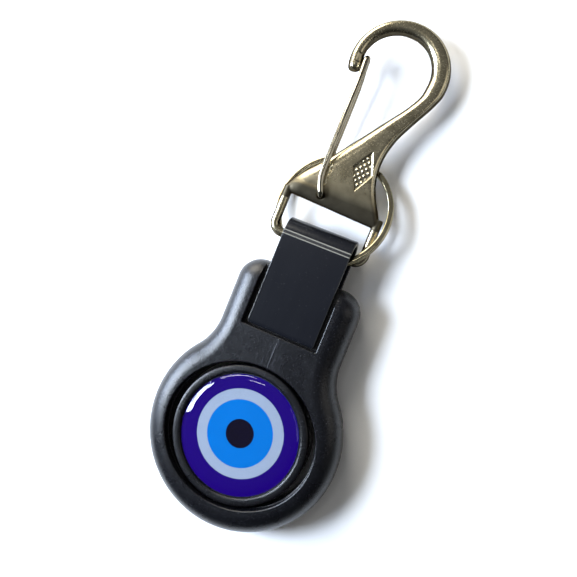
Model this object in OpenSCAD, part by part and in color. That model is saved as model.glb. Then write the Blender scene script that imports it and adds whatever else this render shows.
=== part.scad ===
// Key fob with a turning evil-eye medallion, a folded clip, a split ring and a snap hook.
// Millimetres. The fob lies on its back: +Z is up through the eye, +Y runs towards the hook.
// The origin is on the table, under the centre of the fob's round end.

/* [Fob body] */
// Radius of the fob's round end
disc_r = 25.3; // [25:0.1:28]
// Thickness of the fob, back plateau to front plateau
fob_t = 11; // [10.8:0.1:12]
// Half width of the neck that holds the clip
neck_hw = 16.5; // [16:0.1:18]
// Height of the shoulders' tops above the round end's centre
neck_top = 42.5; // [42:0.1:43]
// Radius of the hollow sweep between neck and round end
blend_r = 14; // [10:0.5:18]
// Half width of the oval opening, across the turning axis
opening_hw = 19.5; // [19.3:0.1:19.8]
// Half height of the oval opening, along the turning axis
opening_hh = 18; // [17.9:0.1:18.2]
// Centre of the opening, along Y
eye_y = -0.5; // [-0.6:0.1:0]

/* [Medallion] */
// Outer radius of the medallion
medal_r = 17.5; // [17.2:0.1:17.5]
// Half thickness of the medallion, over its raised rims
medal_h = 4.9; // [4.7:0.1:5]
// Radius of the printed disc and its clear dome
dome_r = 15.1; // [14.5:0.1:15.2]
// Height of the clear dome over the print
dome_h = 1.1; // [0.8:0.05:1.15]
// Radius of the medallion's two stub pins
pin_r = 1.2; // [1:0.05:1.4]

/* [Clip] */
// Width of the folded clip
clip_w = 18; // [17:0.1:18.4]
// Thickness over both legs of the clip
clip_t = 9.4; // [9.2:0.1:9.6]
// Thickness of one leg
leg_t = 1.1; // [1:0.05:1.2]
// Top of the fold, along Y
fold_top = 55; // [54.8:0.1:55.4]

/* [Hook] */
// Radius of the wire-like bar and legs of the hook's lower loop
bar_r = 1.1; // [1:0.05:1.15]
// Centre line of the bar inside the fold, along Y
bar_y = 50.3; // [50.2:0.1:50.5]
// Half thickness of the hook's blade
blade_h = 1.8; // [1.6:0.05:1.85]
// Angle that the hook is rolled to one side in the fold
hook_roll = 5.7; // [5:0.1:6]
// Radius of the gate's wire
gate_r = 0.75; // [0.7:0.05:0.8]

/* [Split ring] */
// Centre line radius of the split ring
ring_r = 14.5; // [14.3:0.1:14.6]
// Width of the ring's flat wire, across the ring
wire_w = 1.4; // [1.2:0.05:1.5]
// Thickness of the ring's flat wire, one turn
wire_t = 0.86; // [0.8:0.02:0.88]

/* [Hidden] */
$fn = 96;

mid = fob_t / 2;                  // height of the parting plane
edge_r = fob_t / 2;               // full-round edge of the fob
ear_r = edge_r + 0.5;             // radius of the shoulders' corners
fit = 0.05;                       // radial clearance of a running fit
split_gap = 0.02;                 // half of the hairline between the shells

// Hollow sweep: its centre and the direction in which it leaves the round end
blend_x = neck_hw + blend_r;
blend_y = sqrt(pow(disc_r + blend_r, 2) - pow(blend_x, 2));
blend_a = atan2(blend_y, blend_x);

// Slots for the clip
slot_hw = clip_w / 2 + 1.1;       // half width of the slot in the neck
slot_y = 25.8;                    // lower end of the slot
clip_y = slot_y + 0.6;            // lower end of the clip's legs
tongue_h = clip_t / 2 - leg_t - 0.25; // half thickness of the neck's tongue between the legs
fold_y = fold_top - clip_t / 2;   // centre of the fold's bend
peg_y = 34;                       // snap peg that locks the clip through the tongue
peg_r = 1.5;

// Medallion
floor_h = 4.15;                   // half distance between the two floors that carry the prints
print_t = 0.15;                   // thickness of the printed disc
pin_len = 20.4;                   // tip of a stub pin, from the medallion's centre

// Swing of hook and ring in the fold
ring_y = 60.5;                    // centre of the split ring
ring_x = -0.3;
ring_lean_x = -8.8;               // the ring's far side leans down behind the hook
ring_lean_y = -7.4;               // and its right side lies over the hook's right leg
ring_lift = -1.65;                // height of the ring's centre from the parting plane
wire_pitch = wire_t + 0.06;

// Loop of the hook: outline of its centre line
loop_l = -12.75;
loop_r = 11.55;
corner_r = 2.4;
loop_top = 61.6;
gate_x = -4.3;                    // pivot of the gate
gate_y = 62.4;
gate_bore = gate_r + 0.07;

// ---------------------------------------------------------------- helpers

// Swept solid: rings is a list of closed sections with the same number of points
module skin(rings) {
    n = len(rings);
    m = len(rings[0]);
    sides = [for (i = [0 : n - 2], j = [0 : m - 1], half = [0, 1])
        let (a = i * m + j, b = i * m + (j + 1) % m, c = a + m, d = b + m)
        half == 0 ? [a, b, d] : [a, d, c]];
    first = [for (j = [1 : m - 2]) [0, j + 1, j]];
    last = [for (j = [1 : m - 2]) [(n - 1) * m, (n - 1) * m + j, (n - 1) * m + j + 1]];
    polyhedron(points = [for (r = rings) each r], faces = concat(sides, first, last));
}

function unit(v) = v / norm(v);

// Point on a smooth curve through the points p, at t from 0 to len(p) - 1
function through(p, t) =
    let (n = len(p) - 1, i = min(floor(t), n - 1), u = t - i,
         a = p[max(i - 1, 0)], b = p[i], c = p[i + 1], d = p[min(i + 2, n)])
    0.5 * (2 * b + (c - a) * u + (2 * a - 5 * b + 4 * c - d) * u * u
           + (3 * b - a - 3 * c + d) * u * u * u);

// Round section of radius r at point p, square to direction v
function wire_ring(p, v, r, sides) =
    let (w = unit(v), s = unit(abs(w.z) > 0.9 ? cross(w, [0, 1, 0]) : cross(w, [0, 0, 1])),
         q = cross(s, w))
    [for (k = [0 : sides - 1]) p + r * cos(360 * k / sides) * s + r * sin(360 * k / sides) * q];

// ---------------------------------------------------------------- fob body

// Outline of the fob, set in by d from its widest line, as points that run anticlockwise:
// round end, right sweep, right shoulder, left shoulder, left sweep
function fob_outline(d) = concat(
    [for (a = [180 - blend_a : 4.5 : 360 + blend_a]) (disc_r - d) * [cos(a), sin(a)]],
    [for (k = [1 : 6]) let (a = 180 + blend_a * (1 - k / 6))
        [blend_x, blend_y] + (blend_r + d) * [cos(a), sin(a)]],
    [for (a = [0 : 15 : 90]) [neck_hw - ear_r, neck_top - ear_r] + (ear_r - d) * [cos(a), sin(a)]],
    [for (a = [90 : 15 : 180]) [ear_r - neck_hw, neck_top - ear_r] + (ear_r - d) * [cos(a), sin(a)]],
    [for (k = [0 : 5]) let (a = -blend_a * k / 6)
        [-blend_x, blend_y] + (blend_r + d) * [cos(a), sin(a)]]);

// Front half of the fob's outer shape, before it is cut: flat below, full-round edge
module fob_half() {
    steps = 8;
    flat = split_gap;
    levels = [for (k = [0 : steps]) let (a = 90 * k / steps) [edge_r * (1 - cos(a)), edge_r * sin(a)]];
    rings = [for (v = levels) [for (p = fob_outline(v[0])) [p.x, p.y, max(v[1], flat)]]];
    n = len(rings);
    m = len(rings[0]);
    sides = [for (i = [0 : n - 2], j = [0 : m - 1], half = [0, 1])
        let (a = i * m + j, b = i * m + (j + 1) % m, c = a + m, d = b + m)
        half == 0 ? [a, d, b] : [a, c, d]];
    // the flat faces are fans from a point that sees the whole outline
    low = [for (j = [0 : m - 1]) [n * m, j, (j + 1) % m]];
    high = [for (j = [0 : m - 1]) [n * m + 1, (n - 1) * m + (j + 1) % m, (n - 1) * m + j]];
    translate([0, 0, mid])
        polyhedron(points = concat([for (r = rings) each r], [[0, 12, flat], [0, 12, edge_r]]),
                   faces = concat(sides, low, high));
}

// Oval through-opening, wider across the axis so that the rims clear as the medallion turns
module opening() {
    steps = 120;
    translate([0, eye_y, -1])
        linear_extrude(fob_t + 2)
            polygon([for (k = [0 : steps - 1])
                let (a = 360 * k / steps) [opening_hw * cos(a), opening_hh * sin(a)]]);
}

// Bearing for the stub pins: half of it lies in each shell
module pin_bearing() {
    bearing_len = 2 * (pin_len + 0.4);
    translate([0, eye_y + bearing_len / 2, mid])
        rotate([90, 0, 0])
            cylinder(r = pin_r + fit, h = bearing_len);
}

// Everything cut from both shells
module shell_cuts() {
    opening();
    pin_bearing();
    // slots for the clip's legs, front and back
    for (z = [mid + tongue_h, -1])
        translate([-slot_hw, slot_y, z])
            cube([2 * slot_hw, neck_top - slot_y + 1, mid - tongue_h + 1]);
    // hole for the clip's snap peg
    translate([0, peg_y, -1])
        cylinder(r = peg_r + fit, h = fob_t + 2);
}

// Cored-out pockets that keep the moulded walls even; depth is from the parting plane
module coring(depth) {
    for (side = [-1, 1]) {
        translate([side * 6 - 2.6, 28.4, mid - depth])
            cube([5.2, 11.6, 2 * depth]);
        translate([side * 13 - 1, 24, mid - 2.4])
            cube([2, 13, 4.8]);
    }
}

module alignment_pegs(r, h) {
    for (p = [[-10.6, 20.5], [10.6, 20.5], [-15.6, -16.4], [15.6, -16.4]])
        translate([p.x, p.y, mid - 1])
            cylinder(r = r, h = h, $fn = 48);
}

module front_shell() {
    color([0.11, 0.115, 0.125])
        difference() {
            fob_half();
            shell_cuts();
            coring(1.7);
            alignment_pegs(0.95, 3.2);
        }
}

module rear_shell() {
    color([0.11, 0.115, 0.125]) {
        difference() {
            translate([0, 0, fob_t])
                mirror([0, 0, 1])
                    fob_half();
            shell_cuts();
            coring(1.7);
        }
        alignment_pegs(0.9, 3);
    }
}

// ---------------------------------------------------------------- medallion

module medallion() {
    rim = 1.2;
    color([0.1, 0.1, 0.11])
        translate([0, eye_y, mid]) {
            rotate_extrude() {
                translate([0, -floor_h]) square([medal_r, 2 * floor_h - 0.5]);
                translate([0, -floor_h]) square([medal_r - rim, 2 * floor_h]);
            }
            rotate_extrude()
                translate([medal_r - rim, 0]) {
                    translate([0, -medal_h + rim]) square([rim, 2 * (medal_h - rim)]);
                    for (z = [-1, 1])
                        translate([0, z * (medal_h - rim)]) circle(r = rim);
                }
            for (a = [90, -90])
                rotate([a, 0, 0])
                    translate([0, 0, medal_r - 2])
                        cylinder(r = pin_r, h = pin_len - medal_r + 2);
        }
}

// Thin printed disc; z is the height of its lower face over the parting plane
module eye_print(z) {
    color([0.12, 0.02, 0.5])
        translate([0, eye_y, mid + z])
            cylinder(r = dome_r - 0.1, h = print_t);
}

module front_print() {
    eye_print(floor_h);
}

module rear_print() {
    eye_print(-floor_h - print_t);
}

// Clear cast dome: flat underneath, steep at the edge and nearly flat on top
module clear_dome() {
    steps = 16;
    rotate_extrude()
        polygon(concat([[0, 0]], [for (k = [0 : steps])
            let (a = 90 * k / steps) [dome_r * pow(cos(a), 0.5), dome_h * sin(a)]]));
}

module front_dome() {
    color([0.55, 0.7, 0.95, 0.35])
        translate([0, eye_y, mid + floor_h + print_t])
            clear_dome();
}

module rear_dome() {
    color([0.55, 0.7, 0.95, 0.35])
        translate([0, eye_y, mid - floor_h - print_t])
            rotate([180, 0, 0])
                clear_dome();
}

// ---------------------------------------------------------------- clip

// Side view of the folded strip, thickness t inside the outer face
module fold_outline(inset) {
    half = clip_t / 2 - inset;
    translate([fold_y, 0]) circle(r = half);
    translate([clip_y - inset * 2, -half]) square([fold_y - clip_y + inset * 2, 2 * half]);
}

module strap_clip() {
    socket_floor = 0.4;
    color([0.13, 0.135, 0.16]) {
        difference() {
            translate([-clip_w / 2, 0, mid])
                rotate([90, 0, 90])
                    linear_extrude(clip_w)
                        difference() {
                            fold_outline(0);
                            fold_outline(leg_t);
                        }
            // socket in the rear leg for the end of the peg
            translate([0, peg_y, mid - clip_t / 2 + socket_floor])
                cylinder(r = peg_r, h = 3, $fn = 48);
        }
        translate([0, peg_y, mid - clip_t / 2 + socket_floor])
            cylinder(r = peg_r, h = clip_t - socket_floor - leg_t / 2, $fn = 48);
    }
}

// ---------------------------------------------------------------- hook

// Puts a shape that is drawn flat, with its middle at z = 0, into the rolled hook
module hook_place() {
    translate([0, 0, mid])
        rotate([0, hook_roll, 0])
            children();
}

// Outline of the blade as pairs: left or inner edge, right or outer edge, half thickness
blade_left = [[-13.9, 60], [-13.4, 62.6], [-10.6, 66.6], [-7, 70.7], [-3.4, 75.5],
              [0.3, 80.4], [3.9, 85.3], [7.4, 90.1], [9.6, 94.1]];
blade_right = [[12.6, 60], [10.9, 62.9], [8.7, 66.8], [7.1, 71.3], [6.8, 76.5],
               [8, 81.8], [10.4, 87], [13, 92], [14.4, 95.3]];
curl_in = [1.3, 98.4];            // centre of the curl's inner arc
curl_out = [2.1, 98.4];           // centre of its outer arc
curl_in_r = 8.9;
curl_out_r = 12.7;
curl_from = -8;                   // the curl's arcs start here
curl_to = 193;
blade_round = 1.6;                // width of the rounding at the blade's front edges

function arc_point(c, r, a) = c + r * [cos(a), sin(a)];

// Cross section between edge points a and b, half thickness h: flat in front with round edges,
// a rounded oval behind
function blade_ring(a, b, h, sides) =
    let (c = (a + b) / 2, e = (b - a) / 2, l = norm(e), r = min(blade_round, 0.9 * l))
    [for (k = [0 : sides - 1])
        let (t = 360 * k / sides, front = k <= sides / 2, side = sign(cos(t)),
             u = front ? (side * (l - r) + r * cos(t)) / l : side * pow(abs(cos(t)), 0.85),
             w = front ? sin(t) : -pow(abs(sin(t)), 0.75), p = c + e * u)
        [p.x, p.y, h * w]];

module blade() {
    sides = 24;
    per = 5;
    last = len(blade_left) - 1;
    start = arc_point(curl_in, curl_in_r, curl_from);
    lefts = concat(blade_left, [start]);
    rights = concat(blade_right, [arc_point(curl_out, curl_out_r, curl_from)]);
    shank = [for (k = [0 : per * last + 3])
        let (t = k / per) blade_ring(through(lefts, t), through(rights, t), blade_h, sides)];
    curl = [for (a = [curl_from : 6 : curl_to])
        blade_ring(arc_point(curl_in, curl_in_r, a), arc_point(curl_out, curl_out_r, a),
                   blade_h, sides)];
    // rounded nose
    nose_l = arc_point(curl_in, curl_in_r, curl_to);
    nose_r = arc_point(curl_out, curl_out_r, curl_to);
    nose_mid = (nose_l + nose_r) / 2;
    nose_len = 1.5;
    nose = [for (a = [25 : 20 : 85])
        let (c = nose_mid + [0.2, -1] * nose_len * sin(a), k = cos(a))
        blade_ring(c + (nose_l - nose_mid) * k, c + (nose_r - nose_mid) * k, blade_h * k, sides)];
    skin(concat(shank, curl, nose));
}

// Lower loop: two legs and the bar that runs through the fold
module loop_frame() {
    for (x = [loop_l, loop_r])
        translate([x, bar_y + corner_r, 0])
            rotate([-90, 0, 0])
                cylinder(r = bar_r, h = loop_top - bar_y - corner_r, $fn = 48);
    translate([loop_l + corner_r, bar_y, 0])
        rotate([0, 90, 0])
            cylinder(r = bar_r, h = loop_r - loop_l - 2 * corner_r, $fn = 48);
    translate([loop_l + corner_r, bar_y + corner_r, 0])
        rotate([0, 0, 180])
            rotate_extrude(angle = 90, $fn = 48)
                translate([corner_r, 0]) circle(r = bar_r);
    translate([loop_r - corner_r, bar_y + corner_r, 0])
        rotate([0, 0, 270])
            rotate_extrude(angle = 90, $fn = 48)
                translate([corner_r, 0]) circle(r = bar_r);
}

module hook_body() {
    lozenge = [[3.8, 77.1], [5.9, 71.4], [3.1, 66.2], [0.4, 71.8]];
    color([0.62, 0.58, 0.48])
        hook_place()
            difference() {
                union() {
                    blade();
                    loop_frame();
                }
                // cross bore for the gate's bent ends
                translate([gate_x, gate_y, -5])
                    cylinder(r = gate_bore, h = 10, $fn = 48);
                // shallow lozenge recess on the front
                translate([0, 0, blade_h - 0.35])
                    linear_extrude(2)
                        polygon(lozenge);
            }
}

// ---------------------------------------------------------------- gate

gate_leg_h = blade_h + gate_r + 0.1;    // height of a gate leg over the hook's middle
gate_bend = 1.1;                        // radius of its bend above the bore
gate_lead = unit([-0.37, 0.93]);        // direction in which it leaves the bend
gate_loop = 1.5;                        // radius of the closed end
gate_tip = [-6.35, 97.1];               // centre of the closed end

// Half of the bent wire, from its end in the bore to the tip; s is 1 in front, -1 behind
function gate_half(s) = concat(
    [[gate_x, gate_y, s * 0.3], [gate_x, gate_y, s * 1]],
    [for (a = [0 : 22.5 : 90]) let (q = gate_bend * (1 - cos(a)) * gate_lead)
        [gate_x + q.x, gate_y + q.y, s * (gate_leg_h - gate_bend * (1 - sin(a)))]],
    [[gate_x - 1.05, gate_y + 2.6, s * gate_leg_h], [gate_x - 1.5, gate_y + 4.4, s * gate_leg_h],
     [gate_x - 1.65, gate_y + 7, s * gate_leg_h], [-5.95, 76, s * gate_leg_h],
     [-5.95, 84, s * gate_leg_h], [-6, 92, s * 2.1]],
    [for (a = [0 : 30 : 60])
        [gate_tip.x, gate_tip.y + gate_loop * sin(a), s * gate_loop * cos(a)]]);

module gate_wire() {
    front = gate_half(1);
    back = gate_half(-1);
    n = len(front);
    route = concat(front, [[gate_tip.x, gate_tip.y + gate_loop, 0]],
                   [for (i = [n - 1 : -1 : 0]) back[i]]);
    per = 4;
    steps = per * (len(route) - 1);
    color([0.62, 0.58, 0.48])
        hook_place()
            skin([for (k = [0 : steps])
                let (t = k / per, a = through(route, max(t - 0.05, 0)),
                     b = through(route, min(t + 0.05, len(route) - 1)))
                wire_ring(through(route, t), b - a, gate_r, 10)]);
}

// ---------------------------------------------------------------- split ring

// Flat wire wound nearly twice; it steps over to the second turn just before the first end
module split_ring() {
    jog = 34;
    turns = 360 - jog - 4;
    step = 6;
    total = 360 + turns;
    function climb(a) = a < 360 - jog ? 0 : a > 358 ? 1 : 0.5 - 0.5 * cos(180 * (a - 360 + jog) / (jog - 2));
    function section(a) =
        let (z = -wire_pitch / 2 + wire_pitch * climb(a), x = wire_w / 2, h = wire_t / 2, c = 0.25)
        [for (q = [[x, -h + c], [x, h - c], [x - c, h], [c - x, h], [-x, h - c], [-x, c - h],
                   [c - x, -h], [x - c, -h]])
            [(ring_r + q.x) * cos(a), (ring_r + q.x) * sin(a), z + q.y]];
    color([0.6, 0.56, 0.44])
        translate([ring_x, ring_y, mid + ring_lift])
            rotate([ring_lean_x, ring_lean_y, 0])
                rotate([0, 0, 100])
                    skin([for (a = [0 : step : total]) section(a)]);
}

front_shell();
rear_shell();
medallion();
front_print();
rear_print();
front_dome();
rear_dome();
strap_clip();
hook_body();
gate_wire();
split_ring();
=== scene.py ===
import math

import bmesh
import bpy
import numpy as np
from mathutils import Matrix, Vector

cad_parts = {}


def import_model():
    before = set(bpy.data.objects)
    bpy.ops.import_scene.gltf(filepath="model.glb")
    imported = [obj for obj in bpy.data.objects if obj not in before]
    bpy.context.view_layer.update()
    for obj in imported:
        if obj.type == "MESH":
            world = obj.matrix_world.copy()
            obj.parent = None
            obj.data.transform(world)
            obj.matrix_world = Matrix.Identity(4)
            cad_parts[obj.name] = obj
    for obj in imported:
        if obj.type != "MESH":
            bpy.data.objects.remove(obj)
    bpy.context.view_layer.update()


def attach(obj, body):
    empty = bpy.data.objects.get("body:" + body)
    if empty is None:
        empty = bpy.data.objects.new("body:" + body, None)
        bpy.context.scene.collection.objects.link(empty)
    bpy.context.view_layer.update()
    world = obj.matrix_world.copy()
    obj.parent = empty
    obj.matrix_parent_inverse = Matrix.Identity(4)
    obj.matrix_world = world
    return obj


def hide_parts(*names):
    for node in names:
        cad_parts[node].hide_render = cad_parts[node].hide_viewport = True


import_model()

# Shapes are written in millimetres in the CAD's frame: z = 0 is the table, +Y runs to the hook.
MM = 0.001

# ------------------------------------------------------------------ sizes, as in the CAD
DISC_R, FOB_T = 25.3, 11.0
MID = FOB_T / 2                    # height of the parting plane
NECK_HW, NECK_TOP, BLEND_R = 16.5, 42.5, 14.0
EDGE_R, EAR_R = MID, MID + 0.5
OPEN_HW, OPEN_HH, EYE_Y = 19.5, 18.0, -0.5
BLEND_X = NECK_HW + BLEND_R
BLEND_Y = math.sqrt((DISC_R + BLEND_R) ** 2 - BLEND_X ** 2)
BLEND_A = math.degrees(math.atan2(BLEND_Y, BLEND_X))

MEDAL_R, MEDAL_H, FLOOR_H, PRINT_T = 17.5, 4.9, 4.15, 0.15
DOME_R, DOME_H, PIN_R, PIN_LEN = 15.1, 1.1, 1.2, 20.4

CLIP_W, CLIP_T, LEG_T, FOLD_TOP, CLIP_Y = 18.0, 9.4, 1.1, 55.0, 26.4
SLOT_HW, SLOT_Y, TONGUE_H = CLIP_W / 2 + 1.1, 25.8, CLIP_T / 2 - LEG_T - 0.25
FOLD_R, FOLD_Y = (CLIP_T - LEG_T) / 2, FOLD_TOP - CLIP_T / 2
LEG_LEN = FOLD_Y - CLIP_Y
STRIP_LEN = 2 * LEG_LEN + math.pi * FOLD_R

BAR_R, BAR_Y, BLADE_H, HOOK_ROLL = 1.1, 50.3, 1.8, 5.7
LOOP_L, LOOP_R, CORNER_R, LOOP_TOP = -12.75, 11.55, 2.4, 61.6
CURL_IN, CURL_IN_R, CURL_OUT, CURL_OUT_R = (1.3, 98.4), 8.9, (2.1, 98.4), 12.7
CURL_FROM, CURL_TO = -8, 193
LOZENGE = np.array([[3.8, 77.1], [0.4, 71.8], [3.1, 66.2], [5.9, 71.4]])
GATE_R, GATE_X, GATE_Y = 0.75, -4.3, 62.4
GATE_LEG_H, GATE_BEND, GATE_LEAD = BLADE_H + GATE_R + 0.1, 1.1, (-0.37, 0.93)
GATE_TIP, GATE_LOOP = (-6.35, 97.1), 1.5

RING_R, WIRE_W, WIRE_T = 14.5, 1.4, 0.86
WIRE_PITCH = WIRE_T + 0.06
RING_X, RING_Y, RING_LIFT, RING_LEAN_X, RING_LEAN_Y = -0.3, 60.5, -1.65, -8.8, -7.4

# ------------------------------------------------------------------ sizes of the finer shapes
WINDOW_LIP, WINDOW_LEDGE, WINDOW_ROUND = 0.35, 3.0, 0.32
SLOT_TOP, SLOT_CORNER, SLOT_ROUND = 46.0, 0.35, 0.28

BEAD_R, BEAD_HW, BEAD_SQUARE = 16.42, 1.02, 0.65   # the medallion's raised rim
DOME_SQUARE = 0.26                 # the dome's side is steep and its top nearly flat
PRINT_X = 0.1                      # the print is a little off the disc's centre
PUPIL_R, IRIS_R, WHITE_R = 3.6, 8.46, 11.1

STRIP_EDGE = 0.22
CREASES, CREASE_W, CREASE_H = (-0.1, 0.75), 0.11, 0.1   # places measured from where the fold begins
CREASE_FINE = 0.8                  # the strip has close stations from this far before the fold

BLADE_LEFT = np.array([[-13.9, 60.6], [-13.4, 62.6], [-10.6, 66.6], [-7, 70.7], [-3.4, 75.5],
                       [0.3, 80.4], [3.9, 85.3], [7.4, 90.1], [9.6, 94.1]])
BLADE_RIGHT = np.array([[12.6, 59.5], [10.9, 62.9], [8.7, 66.8], [7.1, 71.3], [6.8, 76.5],
                        [8, 81.8], [10.4, 87], [13, 92], [14.4, 95.3]])
BLADE_ROUND, BLADE_BEVEL = 1.6, 4.0    # rounding of the front's right and left edges
FOOT_Y, FOOT_LEN, FOOT_THIN = 60.0, 4.6, 0.86   # the blade thins out towards the loop
NOSE_LEN, NOSE_FULL = 1.55, 0.3    # the nose also grows inwards by NOSE_FULL
BAR_FROM, BAR_TO, BAR_DROP = -10, 9, 0.35   # the bar slopes down to the right

RIDGE_W, RIDGE_H = 0.16, 0.13      # parting ridge round the casting
SEAT_X, SEAT_Y, SEAT_DEPTH = -4.1, (63.2, 64.6, 70.0, 71.6), 0.38
SINK_DEPTH = 0.5
NOTCH_X, NOTCH_Y, NOTCH_DEPTH = (-9.1, -8.5, -6.5, -6), (96.6, 97, 98.8, 99.2), 0.25
DOT_X, DOT_Y, DOT_STEP, DOT_ROW, DOT_H = 3.3, 71.7, 1.5, 0.88, 0.27
LOZENGE_DEPTH = 0.42
CASTING_FOOT = 59                  # the painted shade on the blade's lower part ends here, above the loop's bar

GATE_WIRE_R = GATE_R + 0.06        # a little thicker than the CAD's gate
RING_EDGE, RING_JOG, RING_CUT, RING_START = 0.3, 34.0, 4.0, 100.0   # the last three in degrees


# ------------------------------------------------------------------ curves and sections

def full_turn(steps):
    return np.linspace(0, 2 * math.pi, steps, endpoint=False)


def arc(centre, radius, start, end, steps):
    a = np.radians(np.linspace(start, end, steps))
    return np.stack([centre[0] + radius * np.cos(a), centre[1] + radius * np.sin(a)], 1)


def on_circle(centre, radius, angle):
    return arc(centre, radius, angle, angle, 1)[0]


def rounded_section(width, thickness, edge, steps):
    """Outline of a rectangle with rounded corners, as an (n, 2) array."""
    x, y = width / 2 - edge, thickness / 2 - edge
    return np.concatenate([arc((sx * x, sy * y), edge, start, start + 90, steps)
                           for sx, sy, start in ((1, 1, 0), (-1, 1, 90), (-1, -1, 180), (1, -1, 270))])


def level(outline, z):
    return np.concatenate([outline, np.full((len(outline), 1), z)], 1)


def ease(x, low, high):
    """Rises smoothly from 0 at low to 1 at high."""
    t = np.clip((x - low) / (high - low), 0, 1)
    return t * t * (3 - 2 * t)


def hill(x, low, high, high_end, low_end):
    """Rises from low to high, and falls again from high_end to low_end."""
    return ease(x, low, high) * (1 - ease(x, high_end, low_end))


def through(points, t):
    """Point on a smooth curve through the points, at t from 0 to len(points) - 1."""
    n = len(points) - 1
    i = min(int(math.floor(t)), n - 1)
    u = t - i
    a, b, c, d = (points[max(i - 1, 0)], points[i], points[i + 1], points[min(i + 2, n)])
    return 0.5 * (2 * b + (c - a) * u + (2 * a - 5 * b + 4 * c - d) * u * u
                  + (3 * b - a - 3 * c + d) * u ** 3)


# ------------------------------------------------------------------ mesh helpers

def add_object(name, data):
    obj = bpy.data.objects.new(name, data)
    bpy.context.scene.collection.objects.link(obj)
    return obj


def make(name, points, faces):
    """An object from points in millimetres, with its faces turned outwards."""
    mesh = bpy.data.meshes.new(name)
    mesh.from_pydata((np.asarray(points, dtype=float) * MM).tolist(), [], faces)
    bm = bmesh.new()
    bm.from_mesh(mesh)
    bmesh.ops.remove_doubles(bm, verts=bm.verts, dist=1e-7)
    bmesh.ops.recalc_face_normals(bm, faces=bm.faces)
    bm.to_mesh(mesh)
    bm.free()
    mesh.shade_smooth()
    return add_object(name, mesh)


def loft(name, rings, caps=True):
    """Joins rings, each an (n, 3) array, into a skin, closed by a cap at each end."""
    rings = np.asarray(rings, dtype=float)
    count, n = rings.shape[:2]
    faces = []
    for a in range(0, (count - 1) * n, n):
        b = a + n
        faces += [(a + j, a + (j + 1) % n, b + (j + 1) % n, b + j) for j in range(n)]
    if caps:
        faces += [tuple(range(n)), tuple(range((count - 1) * n, count * n))]
    return make(name, rings.reshape(-1, 3), faces)


def lathe(name, profile, centre, steps=192):
    """Turns (radius, height) pairs about a vertical axis; radius 0 makes a pole."""
    turn = full_turn(steps)
    rings = [np.stack([r * np.cos(turn), r * np.sin(turn), np.full(steps, z)], 1) + centre
             for r, z in profile]
    return loft(name, rings, caps=False)


def cross_rod(name, profile, steps):
    """Rod along the medallion's axis, from (radius, distance from its centre) pairs."""
    turn = full_turn(steps)
    return loft(name, [np.stack([r * np.cos(turn), np.full(steps, EYE_Y + y),
                                 MID + r * np.sin(turn)], 1) for r, y in profile])


def tube(name, path, radius, sides=32):
    """Round rod along a path."""
    path = np.asarray(path, dtype=float)
    tangents = np.gradient(path, axis=0)
    tangents /= np.linalg.norm(tangents, axis=1)[:, None]
    side = np.cross(tangents[0], (0.0, 0.0, 1.0) if abs(tangents[0][2]) < 0.9 else (0.0, 1.0, 0.0))
    t = full_turn(sides)
    rings = []
    for point, tangent in zip(path, tangents):
        side = side - tangent * side.dot(tangent)
        side /= np.linalg.norm(side)
        other = np.cross(tangent, side)
        rings.append(point + radius * (np.outer(np.cos(t), side) + np.outer(np.sin(t), other)))
    return loft(name, rings)


def bake_modifiers(obj):
    """Puts the result of the modifiers into the mesh."""
    graph = bpy.context.evaluated_depsgraph_get()
    mesh = bpy.data.meshes.new_from_object(obj.evaluated_get(graph))
    obj.modifiers.clear()
    obj.data = mesh
    return obj


def remove(*objects):
    for obj in objects:
        bpy.data.objects.remove(obj, do_unlink=True)


def cut(obj, *cutters):
    for cutter in cutters:
        m = obj.modifiers.new("cut", "BOOLEAN")
        m.operation, m.solver, m.object = "DIFFERENCE", "EXACT", cutter
    bake_modifiers(obj)
    remove(*cutters)
    return obj


def join(obj, *others):
    """Adds the meshes of the others to obj."""
    bm = bmesh.new()
    bm.from_mesh(obj.data)
    for other in others:
        bm.from_mesh(other.data)
    bm.to_mesh(obj.data)
    bm.free()
    remove(*others)
    return obj


def soften(obj, angle=35):
    """Smooth shading that stays crisp at edges sharper than angle."""
    obj.data.shade_smooth()
    obj.data.set_sharp_from_angle(angle=math.radians(angle))
    m = obj.modifiers.new("normals", "WEIGHTED_NORMAL")
    m.mode, m.keep_sharp = "FACE_AREA", True
    return bake_modifiers(obj)


def moved(obj, matrix):
    """Moves the mesh and leaves its object at the origin."""
    obj.data.transform(matrix)
    return obj


def read_vertices(obj, field):
    values = np.empty(len(obj.data.vertices) * 3)
    obj.data.vertices.foreach_get(field, values)
    return values.reshape(-1, 3)


def set_points(obj, points):
    obj.data.vertices.foreach_set("co", (points * MM).ravel())
    obj.data.update()


def set_attribute(obj, name, values):
    layer = obj.data.attributes.new(name, "FLOAT", "POINT")
    layer.data.foreach_set("value", np.ascontiguousarray(values, dtype=np.float32))


# ------------------------------------------------------------------ materials

def scaled(colour, factor):
    return tuple(c * factor for c in colour)


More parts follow.
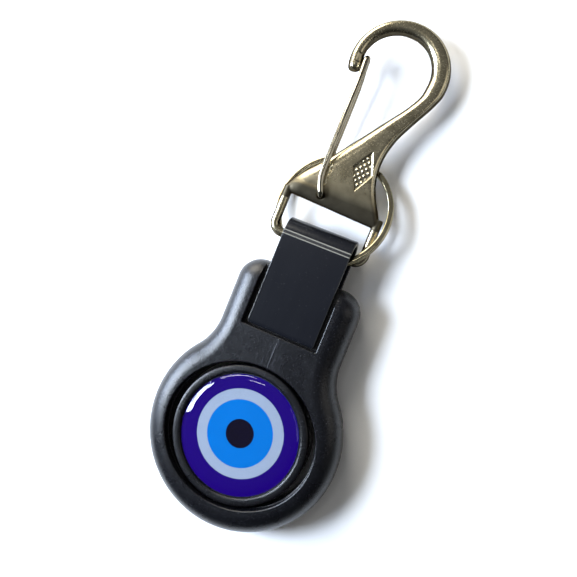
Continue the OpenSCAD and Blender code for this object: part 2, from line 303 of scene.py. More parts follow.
class Look:
    """A material with a short way to write its nodes. Lengths are in millimetres."""

    def __init__(self, name, **constants):
        self.material = bpy.data.materials.new(name)
        self.material.use_nodes = True
        self.tree = self.material.node_tree
        self.shader = self.tree.nodes["Principled BSDF"]
        self.place = self.tree.nodes.new("ShaderNodeTexCoord").outputs["Object"]
        for socket, value in constants.items():
            self.shader.inputs[socket.replace("_", " ")].default_value = value

    def feed(self, socket, value):
        if isinstance(value, bpy.types.NodeSocket):
            self.tree.links.new(value, socket)
        else:
            socket.default_value = value

    def node(self, kind, inputs=(), **settings):
        n = self.tree.nodes.new("ShaderNode" + kind)
        for key, value in settings.items():
            setattr(n, key, value)
        for key, value in dict(inputs).items():
            self.feed(n.inputs[key], value)
        return n

    def set(self, socket, value):
        self.feed(self.shader.inputs[socket], value)

    def vector(self, operation, a, b=(0, 0, 0)):
        return self.node("VectorMath", {0: a, 1: b}, operation=operation)

    def stretched(self, x, y, z):
        return self.vector("MULTIPLY", self.place, (x, y, z)).outputs[0]

    def noise(self, size, detail=2.0, roughness=0.5, where=None):
        return self.node("TexNoise", {"Vector": where or self.place, "Scale": 1 / (size * MM),
                                      "Detail": detail, "Roughness": roughness}).outputs["Fac"]

    def attribute(self, name):
        return self.node("Attribute", attribute_name=name).outputs["Fac"]

    def math(self, operation, a, b=0.0):
        return self.node("Math", {0: a, 1: b}, operation=operation).outputs[0]

    def rise(self, value, low, high, start=0.0, end=1.0):
        return self.node("MapRange", {"Value": value, "From Min": low, "From Max": high,
                                      "To Min": start, "To Max": end},
                         interpolation_type="SMOOTHSTEP").outputs["Result"]

    def band(self, index, low, high, soft):
        """1 between low and high along one axis of the object, 0 outside, with soft edges."""
        value = self.node("SeparateXYZ", {0: self.place}).outputs[index]
        low, high, soft = low * MM, high * MM, soft * MM
        return self.math("MULTIPLY", self.rise(value, low - soft, low + soft),
                         self.rise(value, high - soft, high + soft, 1.0, 0.0))

    def patch(self, across, along):
        """1 inside a rectangle, from (low, high, soft) along X and the same along Y."""
        return self.math("MULTIPLY", self.band(0, *across), self.band(1, *along))

    def blend(self, factor, a, b):
        n = self.node("Mix", data_type="RGBA")
        self.feed(n.inputs["Factor"], factor)
        for socket, value in ((n.inputs[6], a), (n.inputs[7], b)):
            self.feed(socket, value if isinstance(value, bpy.types.NodeSocket) else (*value, 1))
        return n.outputs[2]

    def ramp(self, value, stops):
        n = self.node("ValToRGB", {"Fac": value})
        band = n.color_ramp
        while len(band.elements) < len(stops):
            band.elements.new(1.0)
        for element, (at, colour) in zip(band.elements, stops):
            element.position, element.color = at, (*colour, 1)
        return n.outputs["Color"]

    def bump(self, *layers):
        """layers are (height socket, depth in millimetres); each one lies on those before it."""
        normal = None
        for height, depth in layers:
            inputs = {"Height": height, "Distance": depth * MM, "Strength": 1.0}
            if normal is not None:
                inputs["Normal"] = normal
            normal = self.node("Bump", inputs).outputs[0]
        self.set("Normal", normal)

    def paint(self, obj):
        obj.data.materials.clear()
        obj.data.materials.append(self.material)


WITNESS_X, WITNESS_Y = (0.36, 0.62, 0.09), (15.0, 25.6, 0.4)
SCUFF_X, SCUFF_Y = (-2.5, 3.4, 2.2), (17.5, 25.2, 1.5)
DUST = (0.034, 0.035, 0.039)
LINT = (0.12, 0.12, 0.12)
# lighter colour of the painted highlight on the strip's creases and long edges
HIGHLIGHT_PAINT = (0.34, 0.33, 0.28)
# dark colour for the hook's darker hollows and for the painted shade on it
DARK_AND_PAINTED_SHADE = (0.03, 0.025, 0.018)
PUPIL, AZURE = (0.003, 0.002, 0.005), (0.0, 0.122, 0.38)
PALE, NAVY = (0.25, 0.29, 0.345), (0.009, 0.0, 0.105)


def satin_plastic(name, tone, grain):
    """Moulded black plastic: spark-eroded grain, dust, and a scuffed witness line over the pin."""
    k = Look(name, Specular_IOR_Level=0.35)
    fine = k.noise(grain, 3.0, 0.6)
    cloudy = k.noise(7.0, 3.0, 0.55)
    speck = k.rise(k.noise(grain * 1.1, 1.0, 0.4), 0.67, 0.74)
    grit = k.rise(fine, 0.35, 0.68)
    line = k.patch(WITNESS_X, WITNESS_Y)
    streak = k.noise(0.5, 4.0, 0.6, k.stretched(1.0, 0.12, 1.0))
    scuff = k.math("MULTIPLY", k.rise(streak, 0.52, 0.66), k.patch(SCUFF_X, SCUFF_Y))
    colour = k.blend(grit, scaled(tone, 0.55), scaled(tone, 1.8))
    colour = k.blend(k.math("MULTIPLY", speck, 0.6), colour, DUST)
    colour = k.blend(k.math("MULTIPLY", scuff, 0.6), colour, scaled(tone, 6))
    colour = k.blend(k.math("MULTIPLY", line, 0.5), colour, scaled(tone, 3.5))
    k.set("Base Color", colour)
    k.set("Roughness", k.math("ADD", k.rise(cloudy, 0.3, 0.7, 0.25, 0.31),
                              k.math("MULTIPLY", scuff, 0.08)))
    k.bump((cloudy, 0.012), (fine, 0.065), (line, 0.02))
    return k


def gloss_strap(name):
    """Smooth semi-gloss strip with a little dust. A vertex attribute paints a highlight, a lighter
    colour, on its crease lines and long edges.
    """
    k = Look(name, Specular_IOR_Level=0.34, Coat_Weight=0.1, Coat_Roughness=0.12)
    drawn = k.noise(1.6, 2.0, 0.5, k.stretched(1.0, 0.1, 1.0))
    soft = k.noise(6.0, 2.0, 0.5)
    dust = k.rise(k.noise(0.3, 1.0, 0.4), 0.75, 0.79)
    colour = k.blend(soft, (0.0024, 0.003, 0.0052), (0.0038, 0.0045, 0.0072))
    colour = k.blend(k.math("MULTIPLY", dust, 0.5), colour, LINT)
    # painted highlight on the creases and long edges, from a vertex attribute
    k.set("Base Color", k.blend(k.attribute("painted_highlight"), colour, HIGHLIGHT_PAINT))
    k.set("Roughness", k.rise(drawn, 0.3, 0.7, 0.25, 0.265))
    k.bump((soft, 0.004), (k.noise(0.3, 2.0), 0.0001))
    return k


def nickel(name, bright, dull, ripple, grain, rough_low, rough_high):
    """Nickel plate. Two vertex attributes, on a mesh that has them, darken it: one makes its recesses
    darker and paints shade on the blade's lower part, the other paints shade on its side faces."""
    k = Look(name, Metallic=1.0, Specular_Tint=(0.3, 0.26, 0.22, 1))
    hollows_and_painted_shade, side_painted_shade = k.attribute("hollows_and_painted_shade"), k.attribute("side_painted_shade")
    pits = k.rise(k.noise(0.35, 2.0, 0.5), 0.7, 0.8)
    colour = k.blend(k.rise(k.noise(3.2, 4.0, 0.6), 0.35, 0.7), bright, dull)
    colour = k.blend(k.math("MULTIPLY", pits, 0.35), colour, scaled(dull, 0.45))
    # darker hollows, and painted shade on the blade's lower part, from a vertex attribute
    colour = k.blend(k.math("MULTIPLY", hollows_and_painted_shade, 0.92), colour, DARK_AND_PAINTED_SHADE)
    # painted shade on the side faces, from a vertex attribute
    k.set("Base Color", k.blend(k.math("MULTIPLY", side_painted_shade, 0.9), colour, DARK_AND_PAINTED_SHADE))
    k.set("Roughness", k.math("ADD", k.rise(k.noise(0.5, 3.0, 0.6), 0.3, 0.7, rough_low, rough_high),
                              k.math("MULTIPLY", hollows_and_painted_shade, 0.25)))
    k.bump((k.noise(2.6, 2.0, 0.5), ripple), (k.noise(0.7, 2.0, 0.5), ripple * 0.2),
           (k.noise(0.26, 2.0, 0.5), grain))
    return k


def eye_print(name):
    """Printed rings: black pupil, azure, pale ring, navy."""
    k = Look(name, Roughness=0.7, Specular_IOR_Level=0.0)
    off = k.vector("SUBTRACT", k.place, (PRINT_X * MM, 0, 0)).outputs[0]
    flat = k.vector("MULTIPLY", off, (1, 1, 0)).outputs[0]
    radius = k.vector("LENGTH", flat).outputs["Value"]
    bleed = k.math("MULTIPLY", k.math("SUBTRACT", k.noise(0.5, 3.0, 0.6), 0.5), 0.12 * MM)
    reach, blur = 16.0, 0.05           # radius at the ramp's end, and half of an edge's width
    stops = [(0.0, PUPIL)]
    for edge, inner, outer in ((PUPIL_R, PUPIL, AZURE), (IRIS_R, AZURE, PALE), (WHITE_R, PALE, NAVY)):
        stops += [((edge - blur) / reach, inner), ((edge + blur) / reach, outer)]
    rings = k.ramp(k.math("DIVIDE", k.math("ADD", radius, bleed), reach * MM), stops)
    grain = k.noise(0.16, 2.0, 0.5)
    k.set("Base Color", k.blend(k.rise(grain, 0.3, 0.7, 0.0, 0.12), rings, (0.0, 0.0, 0.06)))
    k.bump((grain, 0.004))
    return k


def clear_resin(name):
    """Clear cast dome. Shadow rays pass straight through, so the lamps light the print under it."""
    k = Look(name, Transmission_Weight=1.0, IOR=1.5)
    k.set("Roughness", k.rise(k.noise(1.3, 3.0, 0.5), 0.45, 0.75, 0.0, 0.03))
    k.set("Base Color", k.blend(k.rise(k.noise(2.5, 2.0), 0.3, 0.7), (1.0, 1.0, 1.0),
                                (0.985, 0.99, 1.0)))
    k.bump((k.noise(4.0, 2.0, 0.5), 0.002), (k.noise(0.9, 2.0, 0.5), 0.0002))
    clear = k.node("BsdfTransparent", {"Color": (0.97, 0.98, 1.0, 1)})
    shadow = k.node("LightPath").outputs["Is Shadow Ray"]
    mix = k.node("MixShader", {0: shadow, 1: k.shader.outputs[0], 2: clear.outputs[0]})
    k.feed(k.tree.nodes["Material Output"].inputs["Surface"], mix.outputs[0])
    return k


# ------------------------------------------------------------------ fob shells

def fob_outline(inset):
    """The fob's outline, set in by inset, anticlockwise."""
    sweep, ear = BLEND_R + inset, EAR_R - inset
    ear_x, ear_y = NECK_HW - EAR_R, NECK_TOP - EAR_R
    side = np.linspace(BLEND_Y, ear_y, 30)[1:-1]
    x = np.full(len(side), NECK_HW - inset)
    return np.concatenate([
        arc((0, 0), DISC_R - inset, 180 - BLEND_A, 360 + BLEND_A, 260),
        arc((BLEND_X, BLEND_Y), sweep, 180 + BLEND_A, 180, 34)[1:],
        np.stack([x, side], 1),
        arc((ear_x, ear_y), ear, 0, 90, 28),
        arc((-ear_x, ear_y), ear, 90, 180, 28),
        np.stack([-x, side[::-1]], 1),
        arc((-BLEND_X, BLEND_Y), sweep, 0, -BLEND_A, 34)[:-1]])


def round_over(radius, top):
    """(offset, height) pairs of a cutter that leaves an edge rounded to radius."""
    return [(radius * (1 - math.cos(a)), top - radius + radius * math.sin(a))
            for a in np.radians(np.linspace(0, 80, 9))]


def oval(half_w, offset):
    """The window's outline, moved outwards by offset."""
    t = full_turn(300)
    normal = np.stack([OPEN_HH * np.cos(t), half_w * np.sin(t)], 1)
    normal /= np.linalg.norm(normal, axis=1)[:, None]
    return np.stack([half_w * np.cos(t), EYE_Y + OPEN_HH * np.sin(t)], 1) + offset * normal


def rounded_slot(offset):
    """The slot's outline, moved outwards by offset. It is open at the neck's end."""
    x, y, r = SLOT_HW + offset, SLOT_Y - offset, SLOT_CORNER + offset
    return np.concatenate([arc((x - r, y + r), r, 270, 360, 8), [[x, SLOT_TOP], [-x, SLOT_TOP]],
                           arc((r - x, y + r), r, 180, 270, 8)])


def window_cutter(top):
    """The oval opening, which narrows a little below a ledge."""
    ledge, narrow = MID + WINDOW_LEDGE, OPEN_HW - WINDOW_LIP
    rings = [level(oval(narrow, 0), MID - 1), level(oval(narrow, 0), ledge),
             level(oval(narrow + 0.1, 0), ledge + 0.08), level(oval(OPEN_HW, 0), ledge + 0.12)]
    rings += [level(oval(OPEN_HW, e), z) for e, z in round_over(WINDOW_ROUND, top)]
    return loft("window", rings + [level(oval(OPEN_HW, WINDOW_ROUND), top + 1)])


def slot_cutter(top):
    rings = [level(rounded_slot(0), MID + TONGUE_H)]
    rings += [level(rounded_slot(e), z) for e, z in round_over(SLOT_ROUND, top)]
    return loft("slot", rings + [level(rounded_slot(SLOT_ROUND), top + 1)])


def shell(name):
    """Front half of the fob, with a fine groove at the parting line."""
    seam = [(0.11, 0.02), (0.07, 0.03), (0.01, 0.13)]
    edge = [(EDGE_R * (1 - math.cos(a)), EDGE_R * math.sin(a))
            for a in np.radians(np.linspace(2, 90, 34))]
    body = loft(name, [level(fob_outline(d), MID + z) for d, z in seam + edge])
    bearing_r, reach = PIN_R + 0.05, PIN_LEN + 0.4
    bearing = cross_rod("bearing", [(bearing_r, -reach), (bearing_r, reach)], 48)
    return soften(cut(body, window_cutter(MID + EDGE_R), slot_cutter(MID + EDGE_R), bearing))


def mirrored(obj, name):
    """A copy turned over about the parting plane."""
    copy = add_object(name, obj.data.copy())
    moved(copy, Matrix.Translation((0, 0, 2 * MID * MM)) @ Matrix.Scale(-1, 4, (0, 0, 1)))
    copy.data.flip_normals()
    return copy


# ------------------------------------------------------------------ medallion, prints, domes

def medallion():
    """Disc with a flat-topped raised rim on both faces and two stub pins."""
    base = FLOOR_H + 0.02
    front = [(r, FLOOR_H) for r in (0, 8, 14, BEAD_R - BEAD_HW - 0.05)]
    for a in np.radians(np.linspace(180, 0, 26)[:-1]):
        flat = math.copysign(abs(math.cos(a)) ** BEAD_SQUARE, math.cos(a))
        front.append((BEAD_R + BEAD_HW * flat, base + (MEDAL_H - base) * math.sin(a) ** BEAD_SQUARE))
    front += [(BEAD_R + BEAD_HW, FLOOR_H), (MEDAL_R, FLOOR_H - 0.35), (MEDAL_R, 1.5),
              (MEDAL_R, 0.14), (MEDAL_R - 0.08, 0.03)]
    disc = lathe("spinner_disc", front + [(r, -z) for r, z in reversed(front)], (0, EYE_Y, MID), 240)
    for sign, name in ((1, "pin_a"), (-1, "pin_b")):
        profile = ((PIN_R, MEDAL_R - 1), (PIN_R, PIN_LEN - 0.3), (PIN_R - 0.25, PIN_LEN))
        join(disc, cross_rod(name, [(r, sign * y) for r, y in profile], 40))
    return soften(disc, 50)


def print_disc(name, side):
    """Thin printed disc with a slightly softened edge, on the front (1) or the rear (-1)."""
    edge, base, top = DOME_R - 0.1, FLOOR_H, FLOOR_H + PRINT_T
    profile = [(0, base), (edge - 0.03, base), (edge, base + 0.04), (edge, top - 0.04),
               (edge - 0.04, top)] + [(edge * f, top) for f in (0.97, 0.8, 0.6, 0.4, 0.2, 0)]
    return soften(lathe(name, [(r, side * z) for r, z in profile], (0, EYE_Y, MID)))


def dome(name, side):
    """Cast dome over the print, on the front (1) or the rear (-1)."""
    base, lip = FLOOR_H + PRINT_T, 0.02
    profile = [(0, 0), (DOME_R * 0.6, 0), (DOME_R - 0.06, 0)]
    profile += [(DOME_R * math.cos(a) ** DOME_SQUARE, lip + (DOME_H - lip) * math.sin(a))
                for a in np.radians(np.linspace(0, 90, 40)[:-1])]
    profile.append((0, DOME_H))
    return soften(lathe(name, [(r, side * (base + z)) for r, z in profile], (0, EYE_Y, MID), 240), 60)


# ------------------------------------------------------------------ clip

def on_strip(s):
    """Place (y, height over the parting plane) and outward direction of the strip's middle at s."""
    if s < LEG_LEN:
        return (CLIP_Y + s, FOLD_R), (0.0, 1.0)
    if s > STRIP_LEN - LEG_LEN:
        return (CLIP_Y + STRIP_LEN - s, -FOLD_R), (0.0, -1.0)
    a = (s - LEG_LEN) / FOLD_R
    out = (math.sin(a), math.cos(a))
    return (FOLD_Y + FOLD_R * out[0], FOLD_R * out[1]), out


def strap_clip():
    """Folded strip: a rounded flat section swept round the fold, with raised crease lines that carry a
    painted highlight, as do the long edges.
    """
    fine_from, fine_to = LEG_LEN - CREASE_FINE, STRIP_LEN - LEG_LEN + CREASE_FINE
    stations = np.concatenate([np.linspace(0, fine_from, 40)[:-1],
                               np.linspace(fine_from, fine_to, 460),
                               np.linspace(fine_to, STRIP_LEN, 40)[1:]])
    section = rounded_section(CLIP_W, LEG_T, STRIP_EDGE, 5)
    half_t = LEG_T / 2
    outside = section[:, 1] > 0
    at_edge = ((np.abs(section[:, 0]) > CLIP_W / 2 - STRIP_EDGE + 0.001)
               & (np.abs(section[:, 1]) > half_t - STRIP_EDGE))
    creases = [s for d in CREASES for s in (LEG_LEN + d, STRIP_LEN - LEG_LEN - d)]
    rings, painted_highlight = [], []
    for s in stations:
        centre, out = on_strip(s)
        crease = sum(math.exp(-((s - c) / CREASE_W) ** 2) for c in creases)
        # painted highlight: a lighter colour on the creases' outer side and faintly on the long edges
        painted_highlight.append(0.75 * crease * outside + 0.08 * at_edge)
        end = min(s, STRIP_LEN - s, STRIP_EDGE)
        shrink = STRIP_EDGE - math.sqrt(max(STRIP_EDGE ** 2 - (STRIP_EDGE - end) ** 2, 0))
        lift = section[:, 1] * (1 - shrink / half_t) + CREASE_H * crease * outside
        across = section[:, 0] - np.sign(section[:, 0]) * shrink
        rings.append(np.stack([across, centre[0] + out[0] * lift,
                               MID + centre[1] + out[1] * lift], 1))
    strap = loft("clip_strap", rings)
    set_attribute(strap, "painted_highlight", np.clip(np.concatenate(painted_highlight), 0, 1))
    return soften(strap, 50)


# ------------------------------------------------------------------ hook

HOOK_PLACE = Matrix.Translation((0, 0, MID * MM)) @ Matrix.Rotation(math.radians(HOOK_ROLL), 4, "Y")


def blade_ring(a, b, half):
    """Section from edge point a to edge point b: flat with round edges in front, oval behind."""
    t = full_turn(72)
    length = np.linalg.norm(b - a) / 2
    front = t <= math.pi
    side = np.sign(np.round(np.cos(t), 9))
    edge = np.minimum(np.where(side < 0, BLADE_BEVEL, BLADE_ROUND), 0.9 * length)
    u = np.where(front, (side * (length - edge) + edge * np.cos(t)) / length,
                 side * np.abs(np.cos(t)) ** 0.8)
    w = np.where(front, np.abs(np.sin(t)) ** 0.95, -np.abs(np.sin(t)) ** 0.72)
    p = (a + b) / 2 + np.outer(u, (b - a) / 2)
    return np.stack([p[:, 0], p[:, 1], half * w], 1)


def blade():
    """The hook's shank, its curl and its rounded nose."""
    lefts = np.vstack([BLADE_LEFT, on_circle(CURL_IN, CURL_IN_R, CURL_FROM)])
    rights = np.vstack([BLADE_RIGHT, on_circle(CURL_OUT, CURL_OUT_R, CURL_FROM)])
    rings = []
    for t in np.arange(0, len(lefts) - 1.05, 0.08):
        a, b = through(lefts, t), through(rights, t)
        up = np.clip(((a[1] + b[1]) / 2 - FOOT_Y) / FOOT_LEN, 0, 1)
        rings.append(blade_ring(a, b, BLADE_H * math.sqrt(1 - FOOT_THIN * (1 - up) ** 2)))
    for angle in np.arange(CURL_FROM, CURL_TO + 0.1, 2):
        left = on_circle(CURL_IN, CURL_IN_R - NOSE_FULL * ease(angle, 165, 190), angle)
        right = on_circle(CURL_OUT, CURL_OUT_R, angle)
        rings.append(blade_ring(left, right, BLADE_H))
    middle, down = (left + right) / 2, np.array([0.2, -1.0]) * NOSE_LEN
    for a in np.radians([15, 30, 45, 60, 72, 84, 88]):
        c, k = middle + down * math.sin(a), math.cos(a) ** 0.6
        rings.append(blade_ring(c + (left - middle) * k, c + (right - middle) * k, BLADE_H * k))
    return loft("hook_casting", rings)


def loop_frame():
    """The lower loop: leg, corner, bar, corner, leg as one rod."""
    heights = np.linspace(LOOP_TOP + 0.4, BAR_Y + CORNER_R, 12)[:-1]
    bar_x = np.linspace(BAR_FROM + 1, BAR_TO - 1, 12)
    slope = (bar_x - BAR_FROM) / (BAR_TO - BAR_FROM)
    flat = np.concatenate([
        [(LOOP_L, y) for y in heights],
        arc((LOOP_L + CORNER_R, BAR_Y + CORNER_R), CORNER_R, 180, 270, 14),
        np.stack([bar_x, BAR_Y - BAR_DROP * slope], 1),
        arc((LOOP_R - CORNER_R, BAR_Y - BAR_DROP + CORNER_R), CORNER_R, 270, 360, 14),
        [(LOOP_R, y) for y in heights[::-1]]])
    return tube("loop", level(flat, 0), BAR_R)


def lozenge_depth(x, y):
    """How far a point lies inside the lozenge, in millimetres; negative outside."""
    inside = np.full(len(x), np.inf)
    for a, b in zip(LOZENGE, np.roll(LOZENGE, -1, axis=0)):
        along = (b - a) / np.linalg.norm(b - a)
        inside = np.minimum(inside, along[0] * (y - a[1]) - along[1] * (x - a[0]))
    return inside


def lozenge_relief(x, y):
    """The lozenge's recess and the raised dots in it, each from 0 to 1."""
    inside = lozenge_depth(x, y)
    row = np.round((y - DOT_Y) / DOT_ROW)
    column = (x - DOT_X) / DOT_STEP - 0.5 * (row % 2)
    gap = np.hypot((column - np.round(column)) * DOT_STEP, y - DOT_Y - row * DOT_ROW)
    return ease(inside, -0.05, 0.28), (1 - ease(gap, 0.1, 0.46)) * ease(inside, 0.2, 0.5)


def gate_seat(x, y):
    """The flat that a leg of the gate lies on, with a wavy cast step beside it, from 0 to 1."""
    step = SEAT_X + 0.16 * np.sin(y * 2.3) + 0.1 * np.sin(y * 5.1)
    return (1 - ease(x, step - 0.35, step)) * hill(y, *SEAT_Y)


def hook_casting():
    """The hook and its loop melted into one casting, with its relief, darker hollows, and painted
    shade towards the blade's lower edge and on its side faces.
    """
    voxel = 0.15
    hook = join(blade(), loop_frame())
    m = hook.modifiers.new("union", "REMESH")
    m.mode, m.voxel_size, m.use_smooth_shade = "VOXEL", voxel * MM, True
    s = hook.modifiers.new("smooth", "SMOOTH")
    s.factor, s.iterations = 0.5, 7
    bake_modifiers(hook)
    points, normals = read_vertices(hook, "co") / MM, read_vertices(hook, "normal")
    x, y, z = points.T
    front, rear = z > 0.4, z < -0.4
    face = np.abs(normals[:, 2])       # 1 on the flat faces, 0 on the sides
    ridge = RIDGE_H * np.exp(-(z / RIDGE_W) ** 2) * ease(1 - face, 0.5, 0.9)
    points[:, :2] += normals[:, :2] * ridge[:, None]
    # both faces: seats of the gate's legs, countersinks of its bore, notch for its tip
    sink = 1 - ease(np.hypot(x - GATE_X, y - GATE_Y), 0.75, 1.15)
    notch = hill(x, *NOTCH_X) * hill(y, *NOTCH_Y)
    lower = (SEAT_DEPTH * gate_seat(x, y) * ease(face, 0.3, 0.8) + SINK_DEPTH * sink
             + NOTCH_DEPTH * notch)
    # the front only: the lozenge
    recess, dots = lozenge_relief(x, y)
    engraved = LOZENGE_DEPTH * recess - DOT_H * dots
    points[:, 2] -= np.where(front, lower + engraved, 0) - np.where(rear, lower, 0)
    set_points(hook, points)
    # painted shade: the blade gets darker towards its lower edge; the lozenge's recess, the
    # countersinks and the notch are made darker too
    foot = 0.9 * (1 - ease(y, 61, 67.5)) + 0.3 * (1 - ease(y, 64, 73))
    darkening_and_painted_shade = (np.where(front, 0.6 * recess * (1 - dots), 0) + 0.5 * sink + 0.3 * notch
             + foot * (y > CASTING_FOOT) * ease(face, 0.3, 0.6))
    set_attribute(hook, "hollows_and_painted_shade", np.clip(darkening_and_painted_shade, 0, 1))
    # painted shade: the side faces get the dark colour, standing in for their dark reflections
    set_attribute(hook, "side_painted_shade", 1 - ease(face, 0.5, 0.86))
    hook.data.shade_smooth()
    return moved(hook, HOOK_PLACE)


# ------------------------------------------------------------------ gate and ring

def gate_wire():
    """One wire bent into a U: an end in the bore, a leg on each face, a closed end at the nose."""
    lead = np.array(GATE_LEAD) / np.linalg.norm(GATE_LEAD)
    half = [(GATE_X, GATE_Y, 0.3), (GATE_X, GATE_Y, 1.0)]
    for a in np.radians(np.linspace(0, 90, 5)):
        q = GATE_BEND * (1 - math.cos(a)) * lead
        half.append((GATE_X + q[0], GATE_Y + q[1], GATE_LEG_H - GATE_BEND * (1 - math.sin(a))))
    leg = [(-1.05, 2.6), (-1.5, 4.4), (-1.65, 7), (-1.65, 13.6), (-1.65, 21.6)]
    half += [(GATE_X + x, GATE_Y + y, GATE_LEG_H) for x, y in leg]
    half.append((-6, 92, 2.1))
    half += [(GATE_TIP[0], GATE_TIP[1] + GATE_LOOP * math.sin(a), GATE_LOOP * math.cos(a))
             for a in np.radians([0, 30, 60])]
    rear = [(x, y, -z) for x, y, z in reversed(half)]
    route = np.array(half + [(GATE_TIP[0], GATE_TIP[1] + GATE_LOOP, 0)] + rear)
    path = [through(route, t) for t in np.arange(0, len(route) - 1 + 1e-6, 1 / 12)]
    return moved(soften(tube("gate_spring_wire", path, GATE_WIRE_R, 28), 60), HOOK_PLACE)


def split_ring():
    """Flat wire with rounded edges, wound nearly twice. It climbs by its own pitch over the jog."""
    section = rounded_section(WIRE_W, WIRE_T, RING_EDGE, 6)
    total = 720 - RING_JOG - RING_CUT
    rings = []
    for degrees in np.arange(0, total + 0.01, 2):
        jogged = np.clip((degrees - 360 + RING_JOG) / (RING_JOG - 2), 0, 1)
        climb = 0.5 - 0.5 * math.cos(math.pi * jogged)
        full = 1.0 if min(degrees, total - degrees) > 1 else 0.9   # the two cut ends are eased
        a = math.radians(degrees)
        r = RING_R + section[:, 0] * full
        rings.append(np.stack([r * math.cos(a), r * math.sin(a),
                               WIRE_PITCH * (climb - 0.5) + section[:, 1] * full], 1))
    lean = (Matrix.Rotation(math.radians(RING_LEAN_Y), 4, "Y")
            @ Matrix.Rotation(math.radians(RING_LEAN_X), 4, "X"))
    at = Matrix.Translation(Vector((RING_X, RING_Y, MID + RING_LIFT)) * MM)
    start = Matrix.Rotation(math.radians(RING_START), 4, "Z")
    return moved(soften(loft("ring_split", rings), 50), at @ lean @ start)


# ------------------------------------------------------------------ the object

def finish_piece(obj, look, node, body):
    look.paint(obj)
    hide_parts(node)
    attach(obj, body)


SHELL = satin_plastic("shell_satin", (0.0028, 0.003, 0.0042), 0.34)
SPINNER = satin_plastic("spinner_satin", (0.0025, 0.0026, 0.0035), 0.26)
STRAP = gloss_strap("strap_semi_gloss")
CASTING = nickel("hook_nickel", (0.54, 0.48, 0.33), (0.41, 0.36, 0.24), 0.03, 0.007, 0.2, 0.28)
GATE = nickel("gate_nickel", (0.42, 0.385, 0.3), (0.33, 0.295, 0.22), 0.004, 0.0012, 0.12, 0.18)
RING = nickel("ring_nickel", (0.46, 0.41, 0.28), (0.36, 0.315, 0.2), 0.01, 0.003, 0.1, 0.17)
PRINT = eye_print("eye_print")
RESIN = clear_resin("clear_resin")

front_shell = shell("shell_front")
rear_shell = mirrored(front_shell, "shell_rear")
finish_piece(front_shell, SHELL, "front_shell", "fob")
finish_piece(rear_shell, SHELL, "rear_shell", "fob")
finish_piece(strap_clip(), STRAP, "strap_clip", "fob")
finish_piece(medallion(), SPINNER, "medallion", "spinner")
for which, side in (("front", 1), ("rear", -1)):
    finish_piece(print_disc("print_" + which, side), PRINT, which + "_print", "spinner")
    finish_piece(dome("lens_" + which, side), RESIN, which + "_dome", "spinner")
finish_piece(hook_casting(), CASTING, "hook_body", "hook")
finish_piece(gate_wire(), GATE, "gate_wire", "gate")
finish_piece(split_ring(), RING, "split_ring", "ring")


# ------------------------------------------------------------------ floor, light, camera

CAMERA_AT = (26.95, 42.14, 155.1)
CAMERA_RIGHT, CAMERA_BACK = (0.9065, 0.3751, -0.1937), (0.1973, 0.0292, 0.9799)
SENSOR, FOCAL = 36.0, 600 / 577    # FOCAL is the focal length as a share of the image's width
FLOOR_HALF = 1.5                   # this and what follows is in metres
AIM, SIDE_AIM = (0, 0.03, 0.005), (0, 0.07, 0.005)


def floor():
    h = FLOOR_HALF
    mesh = bpy.data.meshes.new("floor")
    mesh.from_pydata([(-h, -h, 0), (h, -h, 0), (h, h, 0), (-h, h, 0)], [], [(0, 1, 2, 3)])
    obj = add_object("floor", mesh)
    k = Look("floor_pale", Roughness=0.6, Specular_IOR_Level=0.2)
    k.set("Base Color", k.blend(k.noise(40.0), (0.86, 0.86, 0.865), (0.9, 0.9, 0.9)))
    k.paint(obj)


def softbox(name, direction, distance, width, height, watts, colour, aim=AIM):
    data = bpy.data.lights.new(name, "AREA")
    data.shape, data.size, data.size_y = "RECTANGLE", width, height
    data.energy, data.color = watts, colour
    lamp = add_object(name, data)
    towards = Vector(direction).normalized()
    lamp.location = Vector(aim) + towards * distance
    lamp.rotation_mode = "QUATERNION"
    lamp.rotation_quaternion = towards.to_track_quat("Z", "Y")


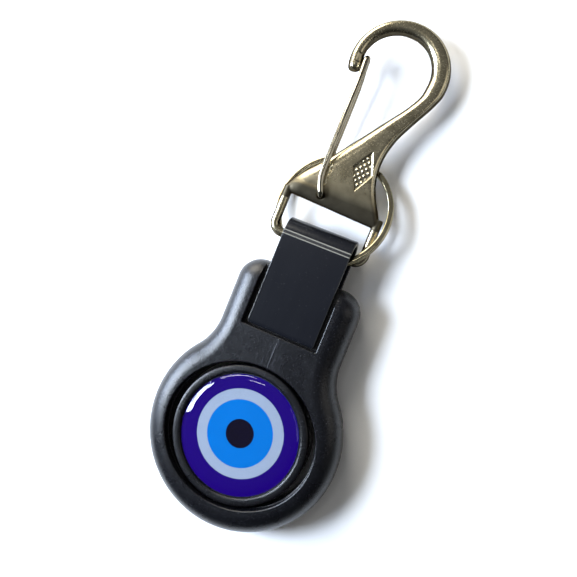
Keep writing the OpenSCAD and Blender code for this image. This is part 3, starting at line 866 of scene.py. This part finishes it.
def world(low, high, towards):
    """Room light that rises softly from low to high in one direction, and a pale wall behind."""
    w = bpy.data.worlds.new("room")
    bpy.context.scene.world = w
    w.use_nodes = True
    nodes, links = w.node_tree.nodes, w.node_tree.links
    facing = nodes.new("ShaderNodeVectorMath")
    facing.operation = "DOT_PRODUCT"
    facing.inputs[1].default_value = Vector(towards).normalized()
    links.new(nodes.new("ShaderNodeTexCoord").outputs["Generated"], facing.inputs[0])
    strength = nodes.new("ShaderNodeMapRange")
    strength.interpolation_type = "SMOOTHSTEP"
    for socket, value in zip(("From Min", "From Max", "To Min", "To Max"), (-0.2, 1.0, low, high)):
        strength.inputs[socket].default_value = value
    links.new(facing.outputs["Value"], strength.inputs["Value"])
    room = nodes["Background"]
    room.inputs["Color"].default_value = (0.96, 0.98, 1.0, 1)
    links.new(strength.outputs["Result"], room.inputs["Strength"])
    wall = nodes.new("ShaderNodeBackground")
    wall.inputs["Color"].default_value = (0.84, 0.85, 0.86, 1)
    seen = nodes.new("ShaderNodeMixShader")
    links.new(nodes.new("ShaderNodeLightPath").outputs["Is Camera Ray"], seen.inputs[0])
    links.new(room.outputs[0], seen.inputs[1])
    links.new(wall.outputs[0], seen.inputs[2])
    links.new(seen.outputs[0], nodes["World Output"].inputs["Surface"])


def add_camera():
    """Looks from where the photograph was taken."""
    data = bpy.data.cameras.new("camera")
    data.sensor_width, data.lens = SENSOR, SENSOR * FOCAL
    data.clip_start, data.clip_end = 0.005, 10.0
    back = Vector(CAMERA_BACK).normalized()
    up = back.cross(Vector(CAMERA_RIGHT)).normalized()
    right = up.cross(back).normalized()
    camera = add_object("camera", data)
    turn = Matrix((right, up, back)).transposed().to_4x4()
    camera.matrix_world = Matrix.Translation(Vector(CAMERA_AT) * MM) @ turn
    return camera


floor()
world(0.04, 0.18, (-0.6, 0.45, 0.65))
softbox("window", (-0.70, -0.12, 0.66), 0.5, 0.2, 0.15, 4.8, (0.76, 0.86, 1.0))
softbox("low", (-0.92, -0.05, 0.38), 0.5, 0.3, 0.1, 4.2, (0.66, 0.78, 1.0))
softbox("side", (-0.66, 0.62, 0.44), 0.45, 0.34, 0.3, 3.2, (1.0, 0.95, 0.84), SIDE_AIM)
softbox("overhead", (-0.2, 0.25, 0.95), 0.6, 0.12, 0.016, 0.12, (1.0, 0.98, 0.94))
softbox("fill", (0.8, 0.35, 0.5), 0.8, 0.5, 0.5, 0.8, (1.0, 0.97, 0.93))
bpy.context.scene.camera = add_camera()
bpy.context.scene.view_settings.view_transform = "Standard"
